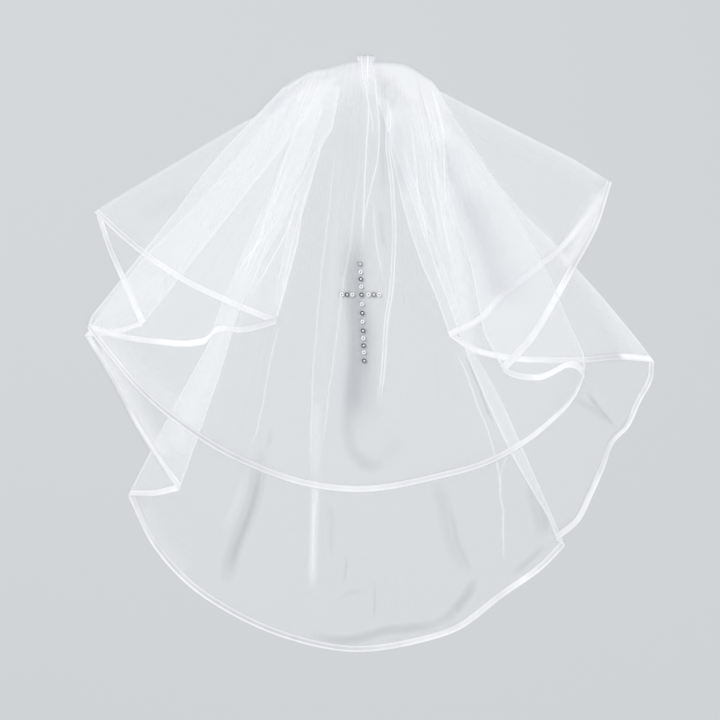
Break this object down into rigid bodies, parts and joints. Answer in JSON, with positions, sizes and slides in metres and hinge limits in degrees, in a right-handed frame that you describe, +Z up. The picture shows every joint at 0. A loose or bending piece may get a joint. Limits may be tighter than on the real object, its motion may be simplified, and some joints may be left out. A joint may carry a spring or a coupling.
{
  "type": "communion veil",
  "caption": "Tiered tulle communion veil laid out flat, gathered at the heading, with satin ribbon round its hems and a small cross of crystals and pearls on the front tier.",
  "frame": {"origin": "middle of the laid veil's width and length, on the surface that it rests on", "axes": "+Y up the veil to its heading, +X to the viewer's right with the heading away from the viewer, +Z up from the surface"},
  "size_m": [0.5712, 0.5962, 0.0126],
  "materials": {
    "tulle": "matte",
    "satin_ribbon": "satin",
    "gathered_tulle": "matte",
    "crystal": "faceted, foil backed",
    "pearl": "pearl gloss"
  },
  "bodies": {
    "root": {"lower_tulle": "tulle", "upper_tulle": "tulle", "lower_ribbon": "satin_ribbon", "upper_ribbon": "satin_ribbon", "heading_gather": "gathered_tulle", "crystal_01": "crystal", "crystal_02": "crystal", "crystal_03": "crystal", "crystal_04": "crystal", "crystal_05": "crystal", "crystal_06": "crystal", "crystal_07": "crystal", "crystal_08": "crystal", "crystal_09": "crystal", "pearl_01": "pearl", "pearl_02": "pearl", "pearl_03": "pearl", "pearl_04": "pearl", "pearl_05": "pearl", "pearl_06": "pearl", "pearl_07": "pearl", "pearl_08": "pearl", "pearl_09": "pearl", "pearl_10": "pearl"}
  },
  "joints": []
}
